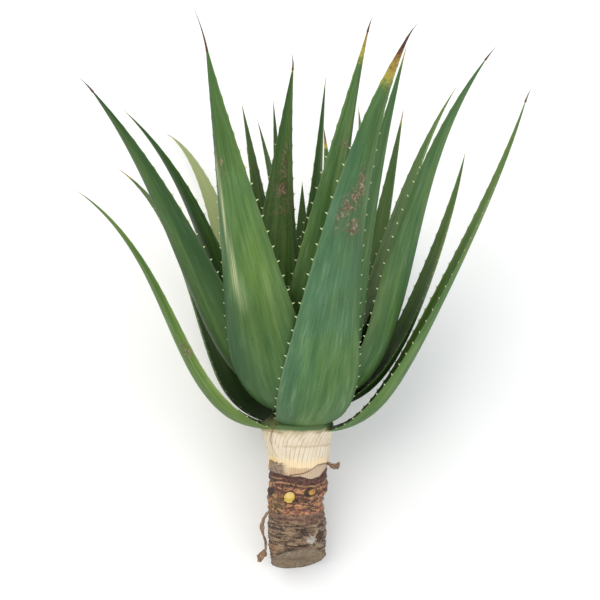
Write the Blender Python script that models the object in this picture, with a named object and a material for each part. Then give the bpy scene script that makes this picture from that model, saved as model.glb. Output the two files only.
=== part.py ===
"""Cut tree aloe lying on its side: a short bare trunk with a rosette of toothed leaves.

The plant is laid out in its own frame, in millimetres: u to the right, v towards the viewer
and h up the trunk axis, with h = 0 where the rosette starts.  place() then lays it down, so
that the axis rises by REST_ANGLE and the trunk's cut rim and two back leaves touch z = 0.
"""
import math

import bpy
import numpy as np

MM = 0.001
REST_ANGLE = math.radians(24.0)   # rise of the trunk axis above the surface
FLOOR = -101.5                    # height of the surface before the shift, mm
SHIFT_X = -9.82                    # brings the bounds' centre over the origin, mm
SHIFT_Y = -164.17

# One row a leaf: name, turn of the leaf round the axis (0 faces the viewer, plus is to the
# right), height of its foot, length, half width, lean from the axis at the foot, in the
# middle and at the tip (degrees), reach of the foot's bend, sideways drift of the tip,
# share of the width left at the foot, fullness of the flesh.
LEAVES = (
    ("leaf_01", 13.6, 7, 481, 52, 78, 14.7, 56, 56, 39, 0.82, 0.85),
    ("leaf_02", 31, 38, 421, 38, 68, 14, 18.5, 56, 23, 0.5, 1.0),
    ("leaf_03", -24, 21.5, 443, 62, 78, 20.3, 15, 49, -12, 0.62, 0.84),
    ("leaf_04", 80.5, -4, 484, 32, 82, 26.6, 17, 53.5, 75, 0.75, 0.8),
    ("leaf_05", -79, -1, 373, 38, 82, 15.4, 59.5, 80, 13, 0.75, 1.0),
    ("leaf_06", -66, 37, 422, 56, 72, 25, 47, 49, 55, 0.56, 0.85),
    ("leaf_07", -78, 50, 371, 38, 68, 18, 52, 40, 60, 0.5, 0.9),
    ("leaf_08", -118, 3.5, 417, 40, 80, 18, 61, 60, 0, 0.60, 0.9),
    ("leaf_09", -145, 21, 510, 36, 78, 22, 71, 60, 0, 0.60, 0.9),
    ("leaf_10", -150, 53.5, 374, 38, 60, 8, 14, 50, 18, 0.5, 1.0),
    ("leaf_11", -164, 31, 370, 42, 78, 14, 12, 60, 29, 0.60, 0.85),
    ("leaf_12", -171, 63.2, 339, 36, 55, 7, 12, 50, 41, 0.60, 1.0),
    ("leaf_13", -150, 76, 335, 30, 50, 0, 5, 50, 5, 0.60, 1.0),
    ("leaf_14", -27, 54.3, 371, 41.5, 50, 6, 9, 50, 42, 0.60, 0.85),
    ("leaf_15", 16, 86.5, 331, 32, 45, 2, 4, 50, 13, 0.60, 0.9),
    ("leaf_16", 165, 4, 480, 42, 78, 26, 12, 78, 37, 0.60, 1.0),
    ("leaf_17", 10, 47.5, 426, 46, 62, 14.5, 13, 50, 45, 0.60, 1.0),
    ("leaf_18", 146, 23, 438, 40, 72, 19, 0, 60, 28, 0.60, 0.9),
    ("leaf_19", 122, 41, 392, 34, 66, 14, 15, 55, 10, 0.60, 1.0),
    ("leaf_20", 88, 51, 412, 34, 60, 15.5, 33, 50, 60, 0.60, 1.0),
    ("leaf_21", 81, 28, 453, 50, 70, 11.4, 40, 62, -60, 0.60, 1.0),
    ("leaf_22", 97, 20.6, 375, 40, 76, 22.4, 14.4, 70, 25, 0.60, 0.72),
    ("leaf_23", 60, 66, 300, 28, 50, 5, 6, 50, 0, 0.60, 1.0),
    ("leaf_24", 178, 79, 225, 27, 40, 3, 0, 40, 0, 0.6, 0.8),
)
RESTING = {"leaf_16": 5.0, "leaf_09": 2.0}   # back leaves pressed flat, by up to so many mm

TOOTH_STEP = 15.5       # spacing of the marginal teeth, mm
TOOTH_HEIGHT = 3.2
TOOTH_HALF = 2.3
TOOTH_LEAN = 1.5        # a tooth points a little towards the tip
SAMPLES = 240
LAST_STATION = 0.93     # the tip is a plain point beyond this share of the length

# Roundness of the cross-section of leaves that fold up more than the rest.
FOLDS = {"leaf_04": 1.0}

# Radius over height of the foot line the leaves spring from, and of the core inside them.
FOOT_LINE = ((-6, 38), (0, 37), (30, 30), (60, 21), (90, 9))
CORE = ((-4, 34.0), (2, 32.0), (30, 25.0), (60, 16.5), (86, 7.0))
CORE_TOP = 89.0

# Trunk: height, sideways centre, radius, read down from the rosette to the cut.
TRUNK = (
    (-8, -3.5, 36.0), (-22, -4.0, 36.2), (-36, -3.4, 35.6), (-46, -3.8, 35.4),
    (-53, -4.2, 34.2), (-66, -3.6, 33.9), (-84, -7.0, 33.6), (-97, -6.4, 32.8),
    (-113, -4.6, 34.2), (-128, -4.8, 34.6), (-142, -4.6, 33.9), (-160, -3.4, 32.4),
    (-190, -3.4, 32.0),
)
TRUNK_SIDES = 28
BARK_TOP = -50.0
BARK_ROWS = 26
CUT_LEVEL = -160.5      # the cut is a slanted plane
CUT_RISE_V = 0.58
CUT_RISE_U = 0.13
ROOT_STUBS = ((-14.0, -80.0, 6.4, 4.5), (10.2, -74.8, 4.5, 3.0))   # u, h, radius, height

# Dry papery remnants: u, v, h of the middle line and half width, mm.
SHEATH_CURL = (
    (31.4, 10.0, -44.0, 2.0), (33.6, 12.0, -45.6, 2.8), (36.8, 13.5, -47.4, 3.5),
    (40.4, 13.0, -48.0, 3.9), (43.6, 11.5, -47.4, 4.4), (45.6, 9.0, -46.4, 4.6),
)
DRY_STRIP = (
    (-39.9, 8.0, -103.0, 1.8), (-44.6, 8.5, -110.0, 2.6), (-47.2, 9.0, -118.5, 3.2),
    (-45.6, 9.5, -128.5, 2.6), (-42.6, 10.0, -137.0, 1.7), (-42.2, 10.0, -146.0, 1.6),
    (-45.5, 9.5, -151.5, 6.0), (-48.5, 9.0, -157.0, 5.4), (-50.5, 8.5, -162.0, 2.6),
)
CURL_ACROSS = (0.0, 0.35, 0.937)
STRIP_ACROSS = (0.8, 0.6, 0.0)
PAPER_HALF = 0.5


def smooth(x):
    x = np.clip(x, 0.0, 1.0)
    return x * x * (3.0 - 2.0 * x)


def table(rows, h, column=1):
    """Interpolates a column of a table whose first column is the height."""
    rows = sorted(rows)
    return np.interp(h, [r[0] for r in rows], [r[column] for r in rows])


class Leaf:
    """Middle surface of one leaf, sampled along its length."""

    def __init__(self, row):
        (self.name, turn, foot, self.length, width, lean0, lean1, lean2,
         reach, drift, share, self.fullness) = row
        s = np.linspace(0.0, self.length, SAMPLES + 1)
        t = s / self.length
        mid = (s[1:] + s[:-1]) / 2
        lean = (lean1 + (lean0 - lean1) * np.exp(-(mid / reach) ** 1.25)
                + (lean2 - lean1) * (mid / self.length) ** 3)
        step = np.diff(s)
        out = np.concatenate([[0.0], np.cumsum(np.sin(np.radians(lean)) * step)])
        rise = np.concatenate([[0.0], np.cumsum(np.cos(np.radians(lean)) * step)])
        out += table(FOOT_LINE, foot) + 0.3
        rise += foot
        phi = math.radians(turn)
        radial = np.array([math.sin(phi), math.cos(phi), 0.0])
        along = np.array([math.cos(phi), -math.sin(phi), 0.0])
        up = np.array([0.0, 0.0, 1.0])
        self.centre = out[:, None] * radial + (drift * t ** 2)[:, None] * along + rise[:, None] * up
        tangent = np.gradient(self.centre, s, axis=0)
        tangent /= np.linalg.norm(tangent, axis=1)[:, None]
        side = np.cross(tangent, up)
        side /= np.linalg.norm(side, axis=1)[:, None]
        side *= np.sign(side @ along)[:, None]
        normal = np.cross(side, tangent)
        normal *= np.sign(normal @ radial)[:, None]
        blend = smooth(t / 0.3)[:, None]
        back = (1 - blend) * radial + blend * normal
        self.side = side
        self.normal = normal
        self.back = back / np.linalg.norm(back, axis=1)[:, None]
        base = share + (1 - share) * smooth(t / 0.2)
        x = np.clip(t - 0.10, 0, None) / 0.90
        self.half = width * base * (1 - x ** 1.12) * (1 - 0.25 * x)
        open_round = FOLDS.get(self.name, 2.2) * self.half + 12
        nested = np.minimum(np.hypot(self.centre[:, 0], self.centre[:, 1]), open_round)
        free = smooth((t - 0.15) / 0.35)
        self.round = (1 - free) * nested + free * open_round
        self.s = s

    def at(self, t, field):
        """Value of a sampled field at share t of the length."""
        x = t * self.length
        if field.ndim == 1:
            return float(np.interp(x, self.s, field))
        return np.array([np.interp(x, self.s, field[:, i]) for i in range(3)])

    def surface(self, t, q):
        """Point of the middle surface; q runs from -1 to 1 across the leaf."""
        bend = self.at(t, self.round)
        theta = q * self.at(t, self.half) / bend
        return (self.at(t, self.centre) + bend * ((math.cos(theta) - 1) * self.at(t, self.back)
                + math.sin(theta) * self.at(t, self.side)))

    def outward(self, t, q):
        """Unit vector in the surface, across the leaf and away from its middle line."""
        theta = q * self.at(t, self.half) / self.at(t, self.round)
        return q * (math.cos(theta) * self.at(t, self.side) - math.sin(theta) * self.at(t, self.back))

    def face_normal(self, t, q):
        step = 1e-3
        low, high = max(t - step, 0.0), min(t + step, 1.0)
        n = np.cross(self.surface(high, q) - self.surface(low, q),
                     self.surface(t, q + 0.02) - self.surface(t, q - 0.02))
        n /= np.linalg.norm(n)
        return n if n @ self.at(t, self.normal) > 0 else -n

    def flesh(self, t):
        """Full thickness on the middle line."""
        return ((0.15 + 0.13 * t) * 2 * self.at(t, self.half)
                * (0.5 + 0.5 * smooth(t / 0.14)) * self.fullness)

    def under(self, t, q):
        lift = self.flesh(t) * 0.68 * (1 - q * q) ** 0.8
        return self.surface(t, q) + self.face_normal(t, q) * lift

    def upper(self, t, q):
        lift = self.flesh(t) * 0.32 * (1 - q * q)
        return self.surface(t, q) - self.face_normal(t, q) * lift


def place(points):
    """Lays the plant frame down on the surface; still in millimetres."""
    p = np.asarray(points, float)
    c, s = math.cos(REST_ANGLE), math.sin(REST_ANGLE)
    return np.stack([p[:, 0] + SHIFT_X,
                     -p[:, 1] * s + p[:, 2] * c + SHIFT_Y,
                     p[:, 1] * c + p[:, 2] * s - FLOOR], axis=1)


def leaf_solid(leaf):
    """Eight-sided fleshy leaf with teeth raised on both margins; returns points and faces."""
    teeth = int(round(leaf.length * LAST_STATION / TOOTH_STEP / 2)) * 2
    cells = np.linspace(0.0, 1.0, teeth // 2 + 1)
    stations = LAST_STATION * (0.65 * cells + 0.35 * cells ** 1.6)
    points, faces, rings, lower = [], [], [], []

    def add(point):
        points.append(point)
        return len(points) - 1

    for t in stations:
        ring = [add(leaf.surface(t, 1.0))]
        ring += [add(leaf.under(t, q)) for q in (0.6, 0.0, -0.6)]
        lower += ring[1:]
        ring += [add(leaf.surface(t, -1.0))]
        ring += [add(leaf.upper(t, q)) for q in (-0.55, 0.0, 0.55)]
        rings.append(ring)
    tip = add(leaf.surface(1.0, 0.0))
    for i, (a, b) in enumerate(zip(rings, rings[1:])):
        for k in (1, 2, 5, 6):
            faces += [(a[k], b[k], b[k + 1]), (a[k], b[k + 1], a[k + 1])]
        faces += margin(leaf, add, stations[i], stations[i + 1], 1.0, a, b, (7, 0, 1))
        faces += margin(leaf, add, stations[i], stations[i + 1], -1.0, a, b, (3, 4, 5))
    last, first = rings[-1], rings[0]
    faces += [(last[k], tip, last[(k + 1) % 8]) for k in range(8)]
    cap = ((0, 1, 7), (1, 2, 6), (1, 6, 7), (2, 3, 5), (2, 5, 6), (3, 4, 5))
    faces += [tuple(first[k] for k in corner) for corner in cap]
    return points, faces, lower + [tip]


def margin(leaf, add, t0, t1, q, a, b, columns):
    """Faces along one margin between two stations, with two teeth in it."""
    before, edge, after = columns
    chain = [a[edge]]
    span = t1 - t0
    half = min(TOOTH_HALF / leaf.length, span * 0.15)
    for part in (0.25, 0.75):
        t = t0 + span * part
        size = TOOTH_HEIGHT * smooth(leaf.at(t, leaf.half) / 14) + 1.0
        chain.append(add(leaf.surface(t - half, q)))
        crown = leaf.surface(t + TOOTH_LEAN / leaf.length, q)
        chain.append(add(crown + leaf.outward(t, q) * size))
        chain.append(add(leaf.surface(t + half, q)))
    chain.append(b[edge])
    middle = len(chain) // 2
    faces = []
    for c, (x, y) in enumerate(zip(chain, chain[1:])):
        rows = a if c < middle else b
        faces += [(x, rows[before], y), (x, y, rows[after])]
    faces += [(chain[middle], a[before], b[before]), (chain[middle], b[after], a[after])]
    return faces


def trunk_point(angle, h):
    """Point of the trunk's skin; the bark has level ridges and two root stubs."""
    bark = smooth((BARK_TOP - h) / 6.0)
    ridge = 0.9 * math.sin(h / 1.9 + 0.8 * math.sin(3 * angle + 0.05 * h))
    lump = 0.7 * math.sin(2 * angle + h / 17.0) + 0.5 * math.sin(5 * angle - h / 9.0)
    radius = float(table(TRUNK, h, 2)) + bark * (ridge + lump)
    u = float(table(TRUNK, h, 1)) + radius * math.sin(angle)
    v = radius * math.cos(angle)
    if v > 0:
        for su, sh, size, height in ROOT_STUBS:
            near = smooth(1.6 - math.hypot(u - su, h - sh) / size)
            u += near * height * math.sin(angle)
            v += near * height * math.cos(angle)
    return u, v, h


def cut_height(u, v):
    return CUT_LEVEL + CUT_RISE_V * v + CUT_RISE_U * u


def trunk_solid():
    points, faces, rings = [], [], []
    angles = [2 * math.pi * k / TRUNK_SIDES for k in range(TRUNK_SIDES)]

    def ring(make):
        start = len(points)
        points.extend(make(a) for a in angles)
        rings.append(list(range(start, start + TRUNK_SIDES)))

    for h, radius in reversed(CORE):
        ring(lambda a: (radius * math.sin(a), radius * math.cos(a), h))
    for h in (-8.0, -22.0, -36.0, -46.0):
        ring(lambda a: trunk_point(a, h))
    for row in range(BARK_ROWS + 1):
        share = row / BARK_ROWS

        def bark(a):
            radius = float(table(TRUNK, -150.0, 2))
            end = cut_height(radius * math.sin(a), radius * math.cos(a))
            u, v, _ = trunk_point(a, BARK_TOP + share * (end - BARK_TOP))
            return u, v, BARK_TOP + share * (cut_height(u, v) - BARK_TOP)
        ring(bark)
    rim = [points[i] for i in rings[-1]]
    middle = np.mean(rim, axis=0)
    inner = [tuple(middle + (np.array(p) - middle) * 0.86 + np.array([0, 0, 0.8])) for p in rim]
    start = len(points)
    points.extend(inner)
    rings.append(list(range(start, start + TRUNK_SIDES)))
    for a, b in zip(rings, rings[1:]):
        for k in range(TRUNK_SIDES):
            n = (k + 1) % TRUNK_SIDES
            faces += [(a[k], b[k], b[n]), (a[k], b[n], a[n])]
    points += [(0.0, 0.0, CORE_TOP), tuple(middle + np.array([0, 0, 1.6]))]
    top, bottom = len(points) - 2, len(points) - 1
    for k in range(TRUNK_SIDES):
        n = (k + 1) % TRUNK_SIDES
        faces += [(top, rings[0][k], rings[0][n]), (bottom, rings[-1][n], rings[-1][k])]
    return points, faces, rings[-2]


def paper_solid(rows, across):
    """Thin ribbon along a middle line, PAPER_HALF thick on either side."""
    line = np.array([r[:3] for r in rows])
    width = np.array([r[3] for r in rows])
    along = np.gradient(line, axis=0)
    across = np.array(across, float)
    face = np.cross(along, across)
    face /= np.linalg.norm(face, axis=1)[:, None]
    points, faces = [], []
    for p, w, n in zip(line, width, face):
        for x, y in ((1, 1), (-1, 1), (-1, -1), (1, -1)):
            points.append(p + across * w * x + n * PAPER_HALF * y)
    for i in range(len(rows) - 1):
        for k in range(4):
            a, b = 4 * i + k, 4 * i + (k + 1) % 4
            faces += [(a, a + 4, b + 4), (a, b + 4, b)]
    end = 4 * (len(rows) - 1)
    faces += [(0, 1, 2), (0, 2, 3), (end, end + 2, end + 1), (end, end + 3, end + 2)]
    return points, faces


def rest_on_surface(points, chosen, depth):
    """Presses the chosen points that come near the surface flat onto it."""
    for i in chosen:
        if points[i, 2] < depth:
            points[i, 2] = 0.0
    points[:, 2] = np.maximum(points[:, 2], 0.0)
    return points


def make_object(name, points, faces):
    corners = points[np.array(faces)]
    volume = np.einsum("ij,ij->", corners[:, 0], np.cross(corners[:, 1], corners[:, 2]))
    if volume < 0:
        faces = [face[::-1] for face in faces]
    mesh = bpy.data.meshes.new(name)
    mesh.from_pydata([tuple(p * MM) for p in points], [], [tuple(int(i) for i in f) for f in faces])
    mesh.update()
    item = bpy.data.objects.new(name, mesh)
    bpy.context.scene.collection.objects.link(item)
    return item


def main():
    for item in list(bpy.data.objects):
        bpy.data.objects.remove(item, do_unlink=True)
    for row in LEAVES:
        leaf = Leaf(row)
        points, faces, lower = leaf_solid(leaf)
        points = rest_on_surface(place(points), lower, RESTING.get(leaf.name, 0.0))
        make_object(leaf.name, points, faces)
    points, faces, rim = trunk_solid()
    make_object("trunk", rest_on_surface(place(points), rim, 1.5), faces)
    points, faces = paper_solid(SHEATH_CURL, CURL_ACROSS)
    make_object("sheath_curl", place(points), faces)
    points, faces = paper_solid(DRY_STRIP, STRIP_ACROSS)
    make_object("dry_strip", place(points), faces)


main()
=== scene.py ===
"""Looks of the cut tree aloe that lies on its side: waxy toothed leaves, pale neck, ridged
bark and dry remnants of leaf sheath.

Lengths are in millimetres in the plant's own frame (u to the right, v towards the viewer, h up
the trunk axis) until place() lays a point down and turns it to metres.
"""
import math

import bmesh
import bpy
import numpy as np
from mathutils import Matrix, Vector, noise


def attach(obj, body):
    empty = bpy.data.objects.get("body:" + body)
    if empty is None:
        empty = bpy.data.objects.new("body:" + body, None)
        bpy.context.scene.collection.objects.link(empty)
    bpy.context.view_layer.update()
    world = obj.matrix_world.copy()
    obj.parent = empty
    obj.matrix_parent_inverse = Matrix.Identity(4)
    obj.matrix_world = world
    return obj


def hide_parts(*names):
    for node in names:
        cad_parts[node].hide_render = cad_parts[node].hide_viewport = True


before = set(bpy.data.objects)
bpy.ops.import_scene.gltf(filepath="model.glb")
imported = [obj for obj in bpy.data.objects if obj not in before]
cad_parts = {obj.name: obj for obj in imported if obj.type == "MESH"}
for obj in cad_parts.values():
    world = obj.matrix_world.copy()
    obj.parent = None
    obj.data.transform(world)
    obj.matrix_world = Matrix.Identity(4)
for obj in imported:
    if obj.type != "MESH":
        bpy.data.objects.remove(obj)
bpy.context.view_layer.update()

MM = 0.001
REST_ANGLE = math.radians(24.0)
FLOOR = -101.5
SHIFT_X = -9.82
SHIFT_Y = -164.17

# name, turn round the axis, height of the foot, length, half width, lean from the axis at the
# foot, middle and tip, reach of the foot's bend, sideways drift, width at the foot, fullness
LEAVES = (
    ("leaf_01", 13.6, 7, 481, 52, 78, 14.7, 56, 56, 39, 0.82, 0.85),
    ("leaf_02", 31, 38, 421, 38, 68, 14, 18.5, 56, 23, 0.5, 1.0),
    ("leaf_03", -24, 21.5, 443, 62, 78, 20.3, 15, 49, -12, 0.62, 0.84),
    ("leaf_04", 80.5, -4, 484, 32, 82, 26.6, 17, 53.5, 75, 0.75, 0.8),
    ("leaf_05", -79, -1, 373, 38, 82, 15.4, 59.5, 80, 13, 0.75, 1.0),
    ("leaf_06", -66, 37, 422, 56, 72, 25, 47, 49, 55, 0.56, 0.85),
    ("leaf_07", -78, 50, 371, 38, 68, 18, 52, 40, 60, 0.5, 0.9),
    ("leaf_08", -118, 3.5, 417, 40, 80, 18, 61, 60, 0, 0.60, 0.9),
    ("leaf_09", -145, 21, 510, 36, 78, 22, 71, 60, 0, 0.60, 0.9),
    ("leaf_10", -150, 53.5, 374, 38, 60, 8, 14, 50, 18, 0.5, 1.0),
    ("leaf_11", -164, 31, 370, 42, 78, 14, 12, 60, 29, 0.60, 0.85),
    ("leaf_12", -171, 63.2, 339, 36, 55, 7, 12, 50, 41, 0.60, 1.0),
    ("leaf_13", -150, 76, 335, 30, 50, 0, 5, 50, 5, 0.60, 1.0),
    ("leaf_14", -27, 54.3, 371, 41.5, 50, 6, 9, 50, 42, 0.60, 0.85),
    ("leaf_15", 16, 86.5, 331, 32, 45, 2, 4, 50, 13, 0.60, 0.9),
    ("leaf_16", 165, 4, 480, 42, 78, 26, 12, 78, 37, 0.60, 1.0),
    ("leaf_17", 10, 47.5, 426, 46, 62, 14.5, 13, 50, 45, 0.60, 1.0),
    ("leaf_18", 146, 23, 438, 40, 72, 19, 0, 60, 28, 0.60, 0.9),
    ("leaf_19", 122, 41, 392, 34, 66, 14, 15, 55, 10, 0.60, 1.0),
    ("leaf_20", 88, 51, 412, 34, 60, 15.5, 33, 50, 60, 0.60, 1.0),
    ("leaf_21", 81, 28, 453, 50, 70, 11.4, 40, 62, -60, 0.60, 1.0),
    ("leaf_22", 97, 20.6, 375, 40, 76, 22.4, 14.4, 70, 25, 0.60, 0.72),
    ("leaf_23", 60, 66, 300, 28, 50, 5, 6, 50, 0, 0.60, 1.0),
    ("leaf_24", 178, 79, 225, 27, 40, 3, 0, 40, 0, 0.6, 0.8),
)
# Roundness of the cross-section of leaves that fold up more than the rest.
FOLDS = {"leaf_04": 1.0}
FOOT_LINE = ((-6, 38), (0, 37), (30, 30), (60, 21), (90, 9))

# How each leaf looks: wax bloom, yellow in its green, share of the length where it turns gold
# and where it turns brown, shade of its green (1 is fresh, 0 is darkest); the shade is partly
# the leaf's own darker green and partly painted shade on leaves that sit deep in the rosette.
LOOKS = {
    "leaf_01": (0.85, 0.12, 0.83, 0.915, 0.95),
    "leaf_02": (0.45, 0.30, 0.92, 0.985, 0.7),
    "leaf_03": (0.35, 0.60, 0.975, 0.99, 0.95),
    "leaf_04": (0.25, 0.55, 0.955, 0.985, 0.9),
    "leaf_05": (0.0, 1.0, 0.94, 0.985, 0.80),
    "leaf_06": (0.30, 0.25, 0.965, 0.985, 0.56),
    "leaf_07": (0.25, 0.25, 0.97, 0.985, 0.6),
    "leaf_08": (0.20, 0.45, 0.90, 0.95, 0.75),
    "leaf_09": (0.0, 1.00, 0.88, 0.96, 1.0),
    "leaf_10": (0.15, 0.30, 0.97, 0.985, 0.5),
    "leaf_11": (0.45, 0.30, 0.94, 0.96, 0.7),
    "leaf_12": (0.15, 0.40, 0.97, 0.985, 0.5),
    "leaf_13": (0.10, 0.25, 0.97, 0.985, 0.35),
    "leaf_14": (0.20, 0.50, 0.95, 0.985, 0.68),
    "leaf_15": (0.25, 0.45, 0.93, 0.98, 0.65),
    "leaf_16": (0.20, 0.30, 0.92, 0.94, 0.6),
    "leaf_17": (0.30, 0.45, 0.86, 0.955, 0.85),
    "leaf_18": (0.30, 0.80, 0.97, 0.985, 0.9),
    "leaf_19": (0.05, 0.45, 0.92, 0.97, 0.5),
    "leaf_20": (0.20, 0.45, 0.95, 0.97, 0.85),
    "leaf_21": (0.50, 0.35, 0.965, 0.985, 0.88),
    "leaf_22": (0.20, 0.55, 0.965, 0.985, 0.8),
    "leaf_23": (0.20, 0.30, 0.97, 0.985, 0.4),
    "leaf_24": (0.05, 0.30, 0.97, 0.985, 0.3),
}
RESTING = ("leaf_16", "leaf_09")
BLEACHED = {"leaf_09": 0.55, "leaf_18": 0.35}
# Outer leaves, left out of the painted shade that darkens the leaves inside the rosette.
OUTER_LEAVES = ("leaf_01", "leaf_03", "leaf_04", "leaf_05", "leaf_06", "leaf_16", "leaf_21")

# Dry awns at leaf tips: length and how far the end bends to u and v, mm.
AWNS = {
    "leaf_01": (9.0, 3.0, 0.0),
    "leaf_03": (40.0, -9.0, 0.0),
    "leaf_04": (9.0, 3.0, 0.0),
    "leaf_06": (11.0, -3.0, 0.0),
    "leaf_14": (12.0, -5.0, 0.0),
    "leaf_17": (7.0, 2.0, 0.0),
    "leaf_21": (8.0, 2.0, 0.0),
}

AROUND = 36             # columns round a leaf
ROW_STEP = 2.3          # rows along a leaf, mm
TOOTH_STEP = 15.5
LAST_STATION = 0.93
SAMPLES = 400


def smooth(x):
    x = np.clip(x, 0.0, 1.0)
    return x * x * (3.0 - 2.0 * x)


def table(rows, h, column=1):
    rows = sorted(rows)
    return np.interp(h, [r[0] for r in rows], [r[column] for r in rows])


def place(points):
    """Lays points of the plant frame down on the floor, in metres."""
    p = np.asarray(points, float)
    c, s = math.cos(REST_ANGLE), math.sin(REST_ANGLE)
    flat = np.stack([p[:, 0] + SHIFT_X,
                     -p[:, 1] * s + p[:, 2] * c + SHIFT_Y,
                     p[:, 1] * c + p[:, 2] * s - FLOOR], axis=1)
    return flat * MM


def linear(code):
    """sRGB hex to the linear RGBA that a shader socket takes."""
    parts = [int(code[i:i + 2], 16) / 255 for i in (1, 3, 5)]
    return tuple(p / 12.92 if p <= 0.04045 else ((p + 0.055) / 1.055) ** 2.4 for p in parts) + (1.0,)


def add_node(tree, kind, inputs=None, out=0, stops=(), **settings):
    """Adds a node and returns one of its outputs; an input takes another node's output, a
    number, a vector or a hex colour."""
    node = tree.nodes.new(kind)
    for key, value in settings.items():
        setattr(node, key, value)
    for socket, value in (inputs or {}).items():
        if isinstance(value, bpy.types.NodeSocket):
            tree.links.new(value, node.inputs[socket])
        else:
            node.inputs[socket].default_value = linear(value) if isinstance(value, str) else value
    for i, (position, code) in enumerate(stops):
        elements = node.color_ramp.elements
        element = elements[i] if i < len(elements) else elements.new(1.0)
        element.position = position
        element.color = linear(code)
    return node.outputs[out] if len(node.outputs) else None


def new_material(name):
    material = bpy.data.materials.new(name)
    material.use_nodes = True
    material.node_tree.nodes.clear()
    return material, material.node_tree


def waxy_leaf():
    """Living aloe leaf: green flesh under a thin blue-grey wax bloom that rubs off in streaks,
    so it shines softly and its veins run as fine lines from foot to tip; the tip dries gold,
    then brown, and the horny teeth are cream."""
    material, tree = new_material("waxy aloe leaf")
    skin = add_node(tree, "ShaderNodeAttribute", out="Vector", attribute_name="skin")
    spot = add_node(tree, "ShaderNodeTexCoord", out="Object")
    state = add_node(tree, "ShaderNodeAttribute", out="Color", attribute_name="state")
    horn = add_node(tree, "ShaderNodeAttribute", out="Alpha", attribute_name="state")
    bloom = add_node(tree, "ShaderNodeSeparateColor", {0: state}, out=0)
    warm = add_node(tree, "ShaderNodeSeparateColor", {0: state}, out=1)
    dry = add_node(tree, "ShaderNodeSeparateColor", {0: state}, out=2)
    marks = add_node(tree, "ShaderNodeAttribute", out="Color", attribute_name="marks")
    shade = add_node(tree, "ShaderNodeAttribute", out="Alpha", attribute_name="marks")
    scab = add_node(tree, "ShaderNodeSeparateColor", {0: marks}, out=0)
    streak = add_node(tree, "ShaderNodeSeparateColor", {0: marks}, out=1)
    pale = add_node(tree, "ShaderNodeSeparateColor", {0: marks}, out=2)

    # lengthwise veins, broad soft stripes and clouds of the wax
    vein_space = add_node(tree, "ShaderNodeVectorMath", {0: skin, 1: (34.0, 0.8, 3.0)},
                          operation="MULTIPLY")
    veins = add_node(tree, "ShaderNodeTexNoise", {"Vector": vein_space, "Scale": 1.0, "Detail": 4.0})
    band_space = add_node(tree, "ShaderNodeVectorMath", {0: skin, 1: (4.2, 0.7, 5.0)},
                          operation="MULTIPLY")
    bands = add_node(tree, "ShaderNodeTexNoise", {"Vector": band_space, "Scale": 1.0, "Detail": 2.0})
    broad_space = add_node(tree, "ShaderNodeVectorMath", {0: skin, 1: (0.8, 0.75, 9.0)},
                           operation="MULTIPLY")
    broad = add_node(tree, "ShaderNodeTexNoise", {"Vector": broad_space, "Scale": 1.0,
                                                  "Detail": 2.0})
    clouds = add_node(tree, "ShaderNodeTexNoise", {"Vector": spot, "Scale": 26.0, "Detail": 3.0})
    grain = add_node(tree, "ShaderNodeTexNoise", {"Vector": spot, "Scale": 330.0, "Detail": 5.0,
                                                  "Roughness": 0.7})

    green = add_node(tree, "ShaderNodeValToRGB", {"Fac": bands},
                     stops=((0.32, "#32541b"), (0.52, "#426826"), (0.70, "#557a33")))
    fresh = add_node(tree, "ShaderNodeValToRGB", {"Fac": bands},
                     stops=((0.32, "#56762a"), (0.52, "#6a8838"), (0.70, "#869b50")))
    turned = add_node(tree, "ShaderNodeMapRange", {0: broad, 1: 0.38, 2: 0.62, 3: -0.28, 4: 0.34})
    turned = add_node(tree, "ShaderNodeMath", {0: turned, 1: warm}, operation="ADD", use_clamp=True)
    green = add_node(tree, "ShaderNodeMix", {0: turned, 6: green, 7: fresh}, out=2,
                     data_type="RGBA")
    wax = add_node(tree, "ShaderNodeMapRange", {0: clouds, 1: 0.25, 2: 0.65, 3: 0.45, 4: 0.95})
    wax = add_node(tree, "ShaderNodeMath", {0: wax, 1: bloom}, operation="MULTIPLY")
    green = add_node(tree, "ShaderNodeMix", {0: wax, 6: green, 7: "#50765a"}, out=2,
                     data_type="RGBA")
    mottle_space = add_node(tree, "ShaderNodeVectorMath", {0: skin, 1: (8.0, 2.4, 7.0)},
                            operation="MULTIPLY")
    mottle = add_node(tree, "ShaderNodeTexNoise", {"Vector": mottle_space, "Scale": 1.0,
                                                   "Detail": 6.0, "Roughness": 0.62})
    rubbed = add_node(tree, "ShaderNodeMapRange", {0: mottle, 1: 0.50, 2: 0.66, 3: 0.0, 4: 0.42})
    green = add_node(tree, "ShaderNodeMix", {0: rubbed, 6: green, 7: "#2f5630"}, out=2,
                     data_type="RGBA")
    dusted = add_node(tree, "ShaderNodeMapRange", {0: mottle, 1: 0.30, 2: 0.46, 3: 0.38, 4: 0.0})
    green = add_node(tree, "ShaderNodeMix", {0: dusted, 6: green, 7: "#86a17c"}, out=2,
                     data_type="RGBA")
    lines = add_node(tree, "ShaderNodeMapRange", {0: veins, 1: 0.34, 2: 0.60, 3: 0.30, 4: 0.0})
    green = add_node(tree, "ShaderNodeMix", {0: lines, 6: green, 7: "#234718"}, out=2,
                     data_type="RGBA")
    # Painted shade: the tone in the marks alpha darkens the green towards near-black #1b3a0c for leaves
    # deep in the rosette, near the feet of inner faces and in the shaded bands, besides each leaf's own
    # darker green.
    dark = add_node(tree, "ShaderNodeMath", {0: 1.0, 1: shade}, operation="SUBTRACT")
    green = add_node(tree, "ShaderNodeMix", {0: dark, 6: green, 7: "#1b3a0c"}, out=2,
                     data_type="RGBA")

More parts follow.
